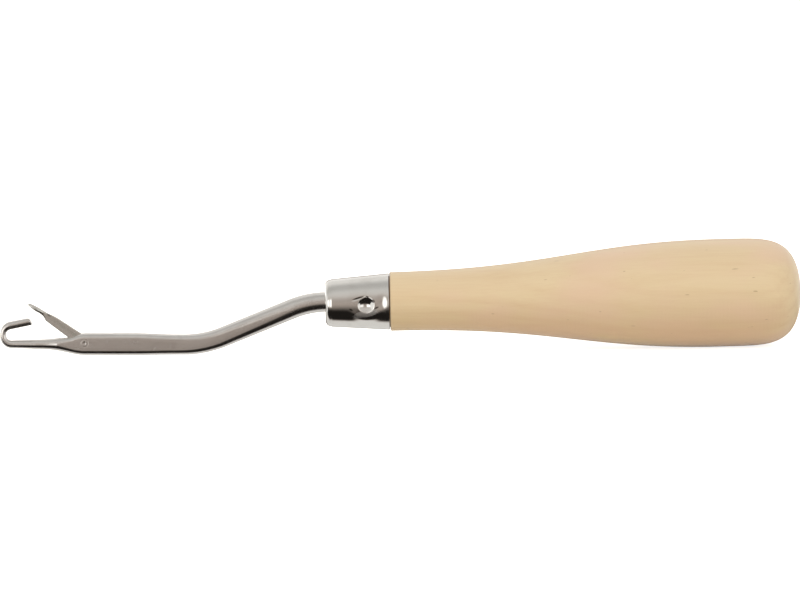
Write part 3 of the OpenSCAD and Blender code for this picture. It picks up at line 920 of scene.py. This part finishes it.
@dataclass
class Needle(Part):
    """The one-piece steel needle: tang, cranked shank, slotted head, stem and hook."""

    crank: Crank = field(default_factory=Crank)
    shank_w: float = 2.6
    shank_h: float = 4.1
    shank_round: float = 1.1
    root_run: float = 6.5
    tang_l: float = 46.0
    tang_up: float = 0.25
    tang_w: float = 1.8
    tang_h: float = 2.2
    tang_round: float = 0.6
    tang_chamfer: float = 0.3
    tang_full_at: float = 2.0
    tang_fit: float = 0.05
    head_h: float = 4.5
    head_up: float = 0.06
    head_back: float = 10.0
    head_blend: float = 9.0
    neck_half: float = 4.0
    stem_d: float = 1.94
    seat_r: float = 1.13
    wire_t: float = 1.64
    nose_t: float = 1.24
    wire_w: float = 1.6
    point_t: float = 1.58
    point_w: float = 1.4
    point_back: float = 6.45
    point_lift: float = 11.7
    end_cap: float = 0.6
    end_square: float = 2.6
    end_slant: float = 0.3
    slot_w: float = 0.98
    slot_back: float = 5.9
    slot_depth: float = 1.49
    lip: float = 0.11
    fillet: float = 0.10
    cheek_drop: float = 0.31
    cheek_at: float = 2.9
    cheek_run: float = 1.5
    groove_r: float = 0.80
    groove_half: float = 0.06
    groove: float = 0.014
    trim: float = 0.012
    finish: Steel = field(default_factory=Steel)

    def tang(self, fit: float = 0.0) -> tuple[Array, Bar]:
        """The tang and the round bar inside the ferrule, from the tang's tip forwards.

        The tang tapers evenly from tang_h by tang_w at its tip to the bar's full size
        at tang_full_at, behind the wood's shoulder.

        Args:
            fit: how much larger than the bar the sections are, all round.

        Returns:
            The x of each section, and the sections.
        """
        tip, full, c = self.crank.start[0] + self.tang_l, self.tang_full_at, self.tang_chamfer
        x = steps((tip, tip - c, 2), (tip - c, full, 14), (full, self.crank.start[0], 8))
        t = np.clip((tip - x) / (tip - full), 0, 1)
        grow = fit - np.clip(1 - (tip - x) / c, 0, 1) * c
        return x + fit * (x == tip), Bar(
            lerp(self.tang_w, self.shank_h, t) + 2 * grow,
            lerp(self.tang_h, self.shank_h, t) + 2 * grow,
            lerp(self.tang_round, self.shank_h / 2, t) + grow,
        )

    def tang_rings(self, angles: Array, fit: float) -> Array:
        """Rings of the room for the tang, which is larger than it by fit all round."""
        x, bar = self.tang(fit)
        across, above = bar.at(angles)
        place = np.stack([x, np.full_like(x, self.tang_up)], axis=-1)
        return as_points(place, across, up(0 * x), above)

    def bar(self, behind: Array) -> tuple[Bar, Array]:
        """The bar's sections so far behind the rivet, and how far their middles are raised.

        The round bar flattens evenly from root_run in front of the ferrule as far as
        the head, which swells smoothly to head_h over the length head_blend.
        """
        flat_from = self.crank.lengths()[2] - self.root_run
        head_from = self.head_back + self.head_blend
        flat = np.clip((flat_from - behind) / (flat_from - head_from), 0, 1)
        swell = smooth((head_from - behind) / self.head_blend)
        return Bar(
            lerp(self.shank_h, self.shank_w, flat), lerp(self.shank_h, self.head_h, swell),
            lerp(self.shank_h / 2, self.shank_round, flat),
        ), self.head_up * swell

    def shank(self) -> tuple[Array, Array, Bar]:
        """Places, slopes and sections of the cranked bar, from the ferrule to the knee's end."""
        crank = self.crank
        top, knee, centre = crank.corners()
        knee_end, knee_from, whole = crank.lengths()
        a = np.linspace(0, crank.angle, 22)[1:]
        bend = np.array(crank.start) - crank.top_r * (up(0) - up(a))
        t = np.linspace(0, 1, 34)[1:-1]
        b = np.linspace(crank.angle, -crank.rise, 30)
        turn = centre - crank.knee_r * up(b)
        place = np.concatenate([bend, lerp(top, knee, t[:, None]), turn])
        slope = np.concatenate([a, np.full(len(t), crank.angle), b])
        slope_from = whole - crank.top_r * math.radians(crank.angle)
        behind = np.concatenate([
            whole - crank.top_r * np.radians(a), lerp(slope_from, knee_from, t),
            knee_end + crank.knee_r * np.radians(b + crank.rise),
        ])
        bar, raised = self.bar(behind)
        return place + raised[:, None] * up(slope), slope, bar

    def front(self, seat_at: float) -> tuple[Array, Array, Bar, Array]:
        """Forward distances, raised heights, sections and places of the head, neck and stem.

        In front of the rivet the swell halves as 0.5^((f / neck_half)^2), the height is
        lerp(stem_d, head_h, swell), and the width the lesser of that and the bar's, so
        the flat sides end in a V.
        """
        neck_l, sawn, ring = 2.5 * self.neck_half, self.slot_back + 0.4, self.groove_r + 0.3
        f = steps(
            (-self.crank.lengths()[0], -self.head_back, 26), (-self.head_back, -sawn, 10),
            (-sawn, -ring, 70), (-ring, ring, 44), (ring, sawn, 70),
            (sawn, neck_l, 14), (neck_l, seat_at, 16),
        )[1:]
        back, raised = self.bar(-f)
        swell = 0.5 ** ((f / self.neck_half) ** 2)
        tall = np.where(f > 0, lerp(self.stem_d, self.head_h, swell), back.height)
        wide = np.where(f > 0, np.minimum(tall, self.shank_w), back.width)
        flat = np.clip(tall - self.shank_w, 0, None) / (self.head_h - self.shank_w)
        edge = np.where(f > 0, lerp(wide / 2, self.shank_round, flat), back.rounding)
        wire = np.clip((f - neck_l) / (seat_at - neck_l), 0, 1)
        wide, tall = lerp(wide, self.wire_w, wire), lerp(tall, self.wire_t, wire)
        edge = np.where(wire > 0, tall / 2, edge)
        raised = np.where(f > 0, self.head_up * swell, raised)
        return f, raised, Bar(wide, tall, edge), self.crank.on_front(f, raised)

    def wire_at(self, turn: Array) -> Array:
        """The hook's thickness, wire_t thinned to nose_t by sin^2 of its turn."""
        return lerp(self.wire_t, self.nose_t, np.sin(np.radians(np.minimum(turn, 180))) ** 2)

    def hook(self, seat_at: float) -> tuple[Array, Array, Bar, Array, Array]:
        """Places, slopes and sections of the bend, the straight point and its blunt end.

        The last two arrays say how flattened each section's inside is, and how much
        it slants. The end is a superellipse of the power end_square, end_cap long.
        """
        seat_up = self.seat_r + self.wire_t / 2
        centre = self.crank.on_front(seat_at, seat_up)
        last = 180 - self.point_lift
        turn = np.linspace(0, last, 64)[1:]
        slope = -self.crank.rise - turn
        thick = self.wire_at(turn)
        bend = centre - (self.seat_r + thick / 2)[:, None] * up(slope)
        lift = math.radians(self.point_lift)
        nose_gap = seat_at + seat_up * math.sin(lift) - (self.crank.nose_at - self.point_back)
        length = nose_gap / math.cos(lift)
        cap, square = self.end_cap, self.end_square
        end = length - cap * (1 - np.sin(np.linspace(0, math.pi / 2, 20)[1:-1]))
        along = np.concatenate([np.linspace(0, length - cap, 16)[1:], end])
        share = (1 - np.clip(1 - (length - along) / cap, 0, 1) ** square) ** (1 / square)
        grow = np.clip(along / (length - cap), 0, 1)
        point = bend[-1] + along[:, None] * ahead(slope[-1])
        point_t = share * lerp(thick[-1], self.point_t, grow)
        point_w = share * lerp(self.wire_w, self.point_w, np.clip(along / length, 0, 1))
        tall = np.concatenate([thick, point_t])
        wide = np.concatenate([np.full(len(turn), self.wire_w), point_w])
        place = np.concatenate([bend, point])
        flattened = np.concatenate([smooth((turn - 105) / 45), np.ones(len(along))])
        slant = self.end_slant * np.concatenate([0 * turn, smooth((along - length + 1.4) / 1.2)])
        slope = np.concatenate([slope, np.full(len(along), slope[-1])])
        return place, slope, Bar(wide, tall, tall / 2), flattened, slant

    def slot_floor(self, forward: Array) -> Array:
        """Height of the slot's floor: rivet_up + s - sqrt(r^2 - f^2), the arc of a saw."""
        top = self.head_h / 2 + self.head_up - self.crank.rivet_up
        lift = (self.slot_back**2 + top**2 - self.slot_depth**2) / (2 * (top + self.slot_depth))
        r = lift + self.slot_depth
        arc = np.sqrt(np.maximum(r * r - forward**2, 0))
        return np.where(np.abs(forward) < r, self.crank.rivet_up + lift - arc, self.head_h)

    def sections(self, bar: Bar, floor: Array) -> tuple[Array, Array]:
        """Section points of the needle, with the latch's slot sawn into the top.

        From the bottom's middle the points go round the side to the slot's lip, and
        from there over the lip, down the wall, round the fillet and to the middle of
        the floor. Where there is no slot they lie evenly on the bar's own top.

        Args:
            bar: the plain sections.
            floor: height of the slot's floor at each of them.

        Returns:
            How far across and above each point lies, right half and then left.
        """
        _, b, r = bar.flats()
        d = math.asin(1 / bar.crown)
        lip_y = np.minimum(self.slot_w / 2 + self.lip, 0.38 * bar.width)[:, None]
        lip_phi = bar.angle_at(lip_y)
        low = steps((-math.pi / 2, -math.pi / 2 + d, 3), (-math.pi / 2 + d, -d, 8), (-d, d, 34))
        corner = d + (lip_phi - d) * np.linspace(0, 1, 10)[None, 1:]
        phi = np.concatenate([np.broadcast_to(low, (len(lip_phi), len(low))), corner], axis=1)
        side_y, side_z = bar.at(phi)

        share = np.linspace(0, 1, 19)[None, 1:]
        even_y = lip_y * (1 - share)
        even_z = bar.at(bar.angle_at(even_y))[1]
        top = (b + r)[:, 0]
        deep = np.clip(top - floor, 0, None)[:, None]
        lip, fillet = np.minimum(self.lip, deep * 0.5), np.minimum(self.fillet, deep * 0.4)
        wall_y = lip_y - self.lip * lip_y / (self.slot_w / 2 + self.lip)
        lip_z = bar.at(bar.angle_at(wall_y + lip))[1]
        q = np.linspace(0, math.pi / 2, 6)[None, 1:]
        down = np.linspace(0, 1, 7)[None, 1:]
        flat = np.linspace(0, 1, 4)[None, 1:]
        floor_z = top[:, None] - deep
        cut_y = np.concatenate([
            wall_y + lip - lip * np.sin(q), wall_y + 0 * down,
            wall_y - fillet + fillet * np.cos(q[:, :4]), (wall_y - fillet) * (1 - flat),
        ], axis=1)
        cut_z = np.concatenate([
            lip_z - lip + lip * np.cos(q), lerp(lip_z - lip, floor_z + fillet, down),
            floor_z + fillet - fillet * np.sin(q[:, :4] * 1.25), floor_z + 0 * flat,
        ], axis=1)
        cut = smooth(deep / 0.22)
        y = np.concatenate([side_y, lerp(even_y, cut_y, cut)], axis=1)
        z = np.concatenate([side_z, lerp(even_z, cut_z, cut)], axis=1)
        return (
            np.concatenate([y, -y[:, -2:0:-1]], axis=1),
            np.concatenate([z, z[:, -2:0:-1]], axis=1),
        )

    def flatten_inside(self, across: Array, above: Array, half: Array, share: Array) -> Array:
        """Files the hook's inner corners flat, along the chord from 5 to 65 degrees.

        Args:
            across: the section points' distances along Y.
            above: their heights, where the inside of the hook is above.
            half: half the thickness of each section.
            share: how flattened each section is.

        Returns:
            The new distances along Y.
        """
        (c1, s1), (c2, s2) = ((math.cos(a), math.sin(a)) for a in np.radians([5, 65]))
        r = half[:, None]
        chord = r * c1 + (above - r * s1) * (c2 - c1) / (s2 - s1)
        over = np.where(above > r * s1, np.clip(np.abs(across) - chord, 0, None), 0)
        return across - np.sign(across) * share[:, None] * over

    def rivet_ring(self, forward: Array, across: Array, above: Array) -> Array:
        """Sinks a fine round groove into both cheeks where the rivet's end was peened.

        Args:
            forward: distance of each section forward of the rivet.
            across: the section points' distances along Y.
            above: their heights above the centre line.

        Returns:
            The new distances along Y.
        """
        d = np.hypot(forward[:, None], above - self.crank.rivet_up)
        sunk = self.groove * np.exp(-(((d - self.groove_r) / self.groove_half) ** 2))
        side = np.abs(across) > self.shank_w / 2 - 0.06
        return across - np.where(side, np.sign(across) * sunk, 0)

    def build(self) -> bpy.types.Object:
        """Carries the sections along the whole needle, from the tang's tip to the point.

        The cheeks are ground cheek_drop lower at cheek_at, in front of the rivet, where
        the latch leaves the slot.
        """
        seat_at = self.crank.nose_at - self.nose_t - self.seat_r
        tang_x, tang_bar = self.tang()
        tang_place = np.stack([tang_x, np.full_like(tang_x, self.tang_up)], axis=-1)
        shank_place, shank_slope, shank_bar = self.shank()
        forward, raised, front_bar, front_place = self.front(seat_at)
        hook_place, hook_slope, hook_bar, hook_flat, hook_slant = self.hook(seat_at)
        bars = (tang_bar, shank_bar, front_bar, hook_bar)
        width = np.concatenate([bar.width for bar in bars]) - 2 * self.trim
        height = np.concatenate([bar.height for bar in bars]) - 2 * self.trim
        edge = np.concatenate([bar.rounding for bar in bars])
        place = np.concatenate([tang_place, shank_place, front_place, hook_place])
        front_slope = np.full(len(forward), -self.crank.rise)
        slope = np.concatenate([0 * tang_x, shank_slope, front_slope, hook_slope])
        before, after = len(tang_x) + len(shank_place), len(hook_place)
        f = np.concatenate([np.full(before, -99.0), forward, np.full(after, 99.0)])
        middle = np.concatenate([np.zeros(before), raised, np.zeros(after)])
        across, above = self.sections(Bar(width, height, edge), self.slot_floor(f) - middle)
        plain = np.zeros(before + len(forward))
        flattened, slant = np.concatenate([plain, hook_flat]), np.concatenate([plain, hook_slant])
        across = self.flatten_inside(across, above, width / 2, flattened)
        across = self.rivet_ring(f, across, above + middle[:, None])
        worn = np.exp(-(((f - self.cheek_at) / self.cheek_run) ** 2))
        dropped = 2 * self.cheek_drop * worn / height
        above = above * (1 - np.where(above > 0, dropped[:, None], 0))
        rings = as_points(place, across, up(slope) + slant[:, None] * ahead(slope), above)
        gone = np.concatenate([[0], np.cumsum(np.hypot(*np.diff(place, axis=0).T))])
        follow = np.stack([gone[:, None] + 0 * across, across, above], axis=-1)
        return Skin("needle_skin", rings, Ends.POLES, follow).build(self.seat)


@dataclass
class Latch(Part):
    """The pressed blade that turns on the rivet, with a spoon that covers the point."""

    crank: Crank = field(default_factory=Crank)
    length: float = 14.1
    thick: float = 0.8
    heel_r: float = 1.17
    blade_end_h: float = 1.68
    blade_round: float = 0.12
    spoon_l: float = 3.9
    spoon_w: float = 1.9
    spoon_t: float = 1.0
    spoon_tip_t: float = 0.5
    spoon_under: float = 0.42
    cup_w: float = 1.2
    cup_l: float = 2.4
    cup_depth: float = 0.15
    bore_r: float = 0.63
    top_blend: float = 3.0
    under_blend: float = 1.2
    trim: float = 0.01
    angle: float = 35.3
    # The latch's ellipses are painted shade at the join of blade and spoon, below and above, where
    # the spoon flares.
    finish: Steel = field(default_factory=lambda: Steel(
        "latch_steel", (0.75, 0.72, 0.67), (0.57, 0.565, 0.50), 0.20, 0.006,
        painted_shades=((10.0, -0.45, 0.75, 0.32), (9.3, 0.45, 0.6, 0.2))))

    def skin_arrays(self) -> tuple[Array, Array, Bar]:
        """How far each section lies from the rivet, its middle's height and its size.

        The blade's half height goes evenly from heel_r to blade_end_h / 2, and blends
        into the spoon, whose reach above is its thickness less spoon_under. Heel and
        tip are rounded like ellipses: sqrt(1 - share^2).
        """
        spoon_at = self.length - self.spoon_l
        blend_end = spoon_at + 0.1
        blend_from = blend_end - self.top_blend
        heel = -self.heel_r * np.sin(np.linspace(math.pi / 2, 0, 26)[1:])
        tip = np.sin(np.linspace(0, math.pi / 2, 40))[1:-1]
        u = np.concatenate([
            heel,
            steps((0, blend_from, 26), (blend_from, blend_end, 26))[1:],
            lerp(blend_end, self.length, tip),
        ])
        blade = lerp(self.heel_r, self.blade_end_h / 2, np.clip(u / spoon_at, 0, 1))
        thick = lerp(self.spoon_t, self.spoon_tip_t, np.clip(u - spoon_at, 0, None) / self.spoon_l)
        flat_top = smooth((u - blend_from) / self.top_blend)
        flat = smooth((u - blend_end + self.under_blend) / self.under_blend)
        above = lerp(blade, thick - self.spoon_under, flat_top)
        below = lerp(blade, self.spoon_under, flat)
        disc = np.sqrt(np.clip(self.heel_r**2 - u**2, 0, None))
        above, below = np.where(u < 0, disc, above), np.where(u < 0, disc, below)
        wide = lerp(self.thick, self.spoon_w, smooth(2 * (u - spoon_at) / self.spoon_l))
        wide *= self.full(u, self.spoon_l / 2)
        tall = self.full(u, self.spoon_tip_t) * (above + below)
        edge = lerp(np.minimum(self.blade_round, tall / 2), tall / 2, flat)
        return u, (above - below) / 2, Bar(wide - 2 * self.trim, tall, edge)

    def full(self, u: Array, over: float) -> Array:
        """How full the latch still is where its end is rounded over a length."""
        return np.sqrt(np.clip(1 - np.clip((u - self.length + over) / over, 0, 1) ** 2, 0.0, 1))

    def build(self) -> bpy.types.Object:
        """Carries the sections along the latch, presses the spoon's cup and bores the pivot."""
        u, middle, bar = self.skin_arrays()
        across, above = bar.at(bar.ring_angles(10, 8, 14))
        above = above + middle[:, None]
        in_y = 1 - (2 * across / self.cup_w) ** 2
        in_u = 1 - (2 * (u - self.length + self.spoon_l / 2) / self.cup_l) ** 2
        cup = self.cup_depth * np.clip(in_y, 0, 1) * np.clip(in_u, 0, 1)[:, None] ** 0.5
        above = above + np.where(above < middle[:, None], cup, 0)
        slope = np.full(len(u), -self.angle - self.crank.rise)
        place = self.crank.rivet() + u[:, None] * ahead(slope)
        rings = as_points(place, across, up(slope), above)
        piece = Skin("latch_skin", rings, Ends.POLES).build(self.seat)
        self.bore(piece)
        return piece

    def bore(self, piece: bpy.types.Object) -> None:
        """Cuts the pivot's hole with a cylinder, and keeps the cut mesh.

        Args:
            piece: the latch.
        """
        turn = np.linspace(0, 2 * math.pi, 64, endpoint=False)
        rings = self.crank.round_rivet(np.array([-1.0, 1.0]), np.full(2, self.bore_r), turn)
        drill = Skin("drill", rings, Ends.POLES).build(self.seat)
        cut = piece.modifiers.new("pivot_hole", "BOOLEAN")
        cut.operation, cut.solver, cut.object = "DIFFERENCE", "EXACT", drill
        graph = bpy.context.evaluated_depsgraph_get()
        bored = bpy.data.meshes.new_from_object(piece.evaluated_get(graph))
        piece.modifiers.clear()
        piece.data = bored
        bpy.data.objects.remove(drill)
        self.mark_run(bored)

    def mark_run(self, mesh: bpy.types.Mesh) -> None:
        """Works out the run of the bored mesh from its places.

        Args:
            mesh: the latch's mesh in the row frame.
        """
        flat = np.zeros(3 * len(mesh.vertices), np.float32)
        mesh.vertices.foreach_get("co", flat)
        points = self.seat.tool(flat.reshape(-1, 3))
        away = points[:, [0, 2]] - self.crank.rivet()
        slope = -self.angle - self.crank.rise
        write_run(mesh, np.stack([away @ ahead(slope), points[:, 1], away @ up(slope)], axis=-1))


@dataclass
class Rivet(Part):
    """The latch's pin, with both ends peened into low domes."""

    crank: Crank = field(default_factory=Crank)
    pin_r: float = 0.6
    end_r: float = 0.75
    sink: float = 0.16
    proud: float = 0.03
    punch: float = 0.07
    punch_r: float = 0.27
    cheek: float = 1.3
    # The rivet's ellipse is painted shade of the punched dish, across the middle of each end.
    finish: Steel = field(default_factory=lambda: Steel(
        "rivet_steel", (0.74, 0.71, 0.67), (0.60, 0.57, 0.53), 0.20, 0.006,
        painted_shades=((0.02, 0.1, 0.2, 0.5),)))

    def build(self) -> bpy.types.Object:
        """Turns the profile about Y: punched domes, countersunk ends and a straight pin."""
        q = np.linspace(0, math.pi / 2, 24)[1:]
        dome_r = self.end_r * np.sin(q)
        punched = self.punch * np.exp(-((dome_r / self.punch_r) ** 2))
        dome_y = self.cheek + self.proud * np.cos(q) ** 2 - punched
        pin_y = np.linspace(self.cheek - self.sink, 0, 12)
        half_r = np.concatenate([dome_r, np.full(len(pin_y), self.pin_r)])
        half_y = np.concatenate([dome_y, pin_y])
        radius = np.concatenate([half_r, half_r[-2::-1]])
        y = np.concatenate([half_y, -half_y[-2::-1]])
        turn = np.linspace(0, 2 * math.pi, 72, endpoint=False)
        rings = self.crank.round_rivet(y, radius, turn)
        x, z = self.crank.rivet()
        follow = rings - np.array([x, 0, z])
        return Skin("latch_rivet_skin", rings, Ends.POLES, follow).build(self.seat)


@dataclass
class Studio:
    """Pale floor, white surroundings, two soft lights and a shaded sheet round it all.

    Each band of the sheet says between which angles its light rises, and by how much.
    """

    eye_deg: float
    middle_up: float = 0.01
    floor_at: float = -0.00002
    floor_half: float = 2.0
    sheet_r: float = 0.62
    sheet_l: float = 2.2
    columns: int = 45
    darkest: float = 0.015
    underneath: float = 0.78
    bands: tuple[tuple[float, float, float], ...] = (
        (-43, -5, 0.44), (5, 36, 0.23), (44, 72, -0.14), (78, 112, 0.34), (118, 150, 0.2),
    )
    plain: float = 0.535
    box_size: tuple[float, float] = (1.1, 0.5)
    box_away: float = 0.41
    box_up: float = 0.45
    front_watts: float = 2.1
    back_watts: float = 0.8

    def stand(self, name: str, mesh: bpy.types.Mesh) -> bpy.types.Object:
        """Makes an object of the set, which is no part of the tool."""
        thing = bpy.data.objects.new(name, mesh)
        bpy.context.scene.collection.objects.link(thing)
        return thing

    def floor(self) -> None:
        """A pale floor that keeps the object's shadow, and is white to the camera."""
        side = np.array([-self.floor_half, self.floor_half])
        x, y = np.meshgrid(side, side)
        corners = np.stack([x, y, 0 * x + self.floor_at], axis=-1).reshape(-1, 3)
        mesh = bpy.data.meshes.new("floor")
        mesh.from_pydata(corners.tolist(), [], [(0, 1, 3, 2)])
        self.stand("floor", mesh).visible_glossy = False
        pale = {"Base Color": (0.92, 0.885, 0.79, 1), "Roughness": 0.9, "Specular IOR Level": 0.1}
        p = Paint("pale_floor", pale)
        seen = Value(p, p.node("ShaderNodeLightPath", {}, {}).outputs["Is Camera Ray"])
        glow = p.node("ShaderNodeEmission", {}, {"Color": (1, 1, 1, 1), "Strength": seen * 0.8})
        both = p.node("ShaderNodeAddShader", {}, {0: p.surface.outputs[0], 1: glow.outputs[0]})
        mesh.materials.append(p.show(both.outputs[0]))

    def sheet(self) -> None:
        """A sheet bent round the tool, seen only in its polished metal.

        It is a tube about X. Its light goes by the angle above the camera's height,
        counted over the front as far as the top of the back, and down the back as it
        does down the front. It is black low down, grey in front and pale above and
        underneath, warmer where it is grey, with a window of light towards each end.
        """
        turn = np.linspace(-152, 208, 181)
        angle = np.where(turn < 160, turn - self.eye_deg, 180 - turn - self.eye_deg)
        turn = np.radians(turn)[:, None]
        x = self.sheet_l / 2 * np.linspace(-1, 1, self.columns)[None, :]
        grid = np.stack([
            x + 0 * turn, -self.sheet_r * np.cos(turn) + 0 * x,
            self.sheet_r * np.sin(turn) + self.middle_up + 0 * x,
        ], axis=-1)
        n, m = len(turn), self.columns
        first = (np.arange(n - 1)[:, None] * m + np.arange(m - 1)).reshape(-1, 1)
        faces = first + np.array([[0, 1, m + 1, m]])
        mesh = bpy.data.meshes.new("shaded_sheet")
        mesh.from_pydata(grid.reshape(-1, 3).tolist(), [], faces.tolist())
        for name, values in (("arc", np.repeat(angle, m)), ("end", np.tile(x[0], n))):
            level = mesh.attributes.new(name, "FLOAT", "POINT")
            level.data.foreach_set("value", values.astype(np.float32))
        sheet = self.stand("shaded_sheet", mesh)
        sheet.visible_camera = sheet.visible_diffuse = sheet.visible_shadow = False
        sheet.visible_transmission = sheet.visible_volume_scatter = False
        p = Paint("shaded_sheet", {})
        arc, end = (
            Value(p, p.node("ShaderNodeAttribute", {"attribute_name": name}, {}).outputs["Fac"])
            for name in ("arc", "end")
        )
        under = 1 - arc.ramp(-101, -85)
        light = under * self.underneath + self.darkest
        for low, high, rise in self.bands:
            light = light + arc.ramp(low, high) * rise
        ends = 1 - end.ramp(-0.26, -0.17) + end.ramp(0.20, 0.32)
        window = arc.ramp(-27, -17) * (1 - arc.ramp(8, 24)) * ends
        strong = window * (1.3 - end.ramp(-0.42, -0.24) * 0.5)
        tint = p.mix(under + arc.ramp(-15, 55) + window, (1, 0.87, 0.79), (1, 0.995, 0.985))
        glow = p.node("ShaderNodeEmission", {}, {"Strength": light + strong, "Color": tint})
        mesh.materials.append(p.show(glow.outputs[0]))

    def softbox(self, name: str, y: float, watts: float) -> None:
        """Adds a wide soft light above the tool, which metal doesn't mirror.

        Args:
            name: its name.
            y: how far behind the tool it stands.
            watts: its power.
        """
        data = bpy.data.lights.new(name, "AREA")
        data.shape, data.size, data.size_y, data.energy = "RECTANGLE", *self.box_size, watts
        light = bpy.data.objects.new(name, data)
        place, aim = Vector((0, y, self.box_up)), Vector((0, 0, self.middle_up))
        light.location = place
        light.rotation_euler = (aim - place).to_track_quat("-Z", "Y").to_euler()
        light.visible_glossy = light.visible_camera = False
        bpy.context.scene.collection.objects.link(light)

    def surroundings(self) -> None:
        """A world that is white to the camera and in metal, and plain light elsewhere."""
        world = bpy.data.worlds.new("surroundings")
        bpy.context.scene.world = world
        world.use_nodes = True
        tree = world.node_tree
        tree.nodes.clear()
        path = tree.nodes.new("ShaderNodeLightPath")
        seen = path.outputs["Is Camera Ray"]
        for ray in ("Is Glossy Ray", "Is Transmission Ray"):
            either = tree.nodes.new("ShaderNodeMath")
            either.operation = "MAXIMUM"
            tree.links.new(seen, either.inputs[0])
            tree.links.new(path.outputs[ray], either.inputs[1])
            seen = either.outputs[0]
        mixed = tree.nodes.new("ShaderNodeMixShader")
        out = tree.nodes.new("ShaderNodeOutputWorld")
        tree.links.new(seen, mixed.inputs[0])
        for slot, strength in ((1, self.plain), (2, 1.0)):
            shade = tree.nodes.new("ShaderNodeBackground")
            shade.inputs["Color"].default_value = (1, 1, 1, 1)
            shade.inputs["Strength"].default_value = strength
            tree.links.new(shade.outputs[0], mixed.inputs[slot])
        tree.links.new(mixed.outputs[0], out.inputs[0])

    def build(self) -> None:
        """Sets up the floor, the sheet, the lights and the world."""
        self.floor()
        self.sheet()
        self.surroundings()
        self.softbox("front_box", -self.box_away, self.front_watts)
        self.softbox("back_box", self.box_away, self.back_watts)
        bpy.context.scene.view_settings.view_transform = "Standard"


@dataclass
class PhotoCamera:
    """A long lens square to the tool, rolled a little, as the photograph was taken."""

    lens: float = 200.0
    sensor: float = 36.0
    across: float = 0.1648
    aim: Colour = (0.0000774, 0.0, 0.0106045)
    roll_deg: float = 0.863
    raise_deg: float = 7.0

    def build(self) -> None:
        """Stands the camera off along -Y so that the frame is `across` wide at the tool."""
        e, r = math.radians(self.raise_deg), math.radians(self.roll_deg)
        back = Vector((0, -math.cos(e), math.sin(e)))
        right, over = Vector((1, 0, 0)), Vector((0, math.sin(e), math.cos(e)))
        c, s = math.cos(r), math.sin(r)
        right, over = right * c - over * s, right * s + over * c
        data = bpy.data.cameras.new("photo_camera")
        data.lens, data.sensor_width = self.lens, self.sensor
        camera = bpy.data.objects.new("photo_camera", data)
        away = self.lens / self.sensor * self.across
        turned = Matrix((right, over, back)).transposed().to_4x4()
        camera.matrix_world = Matrix.Translation(Vector(self.aim) + back * away) @ turned
        data.clip_start, data.clip_end = away * 0.05, away * 20
        bpy.context.scene.collection.objects.link(camera)
        bpy.context.scene.camera = camera


def main() -> None:
    """Loads the frame, builds and dresses the five pieces and sets up the studio."""
    logging.basicConfig(level=logging.INFO, format="%(name)s: %(message)s")
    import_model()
    seat, crank, camera = Seat(), Crank(), PhotoCamera()
    camera.build()
    needle = Needle(seat, crank=crank)
    ferrule = Ferrule(seat)
    handle = Handle(seat)
    latch = Latch(seat, "latch", crank=crank)
    rivet = Rivet(seat, crank=crank)
    handle.dress(handle.build(ferrule, needle))
    ferrule.dress(ferrule.build(needle))
    needle.dress(needle.build())
    latch.dress(latch.build())
    rivet.dress(rivet.build())
    Studio(camera.raise_deg).build()


if __name__ == "__main__":
    main()
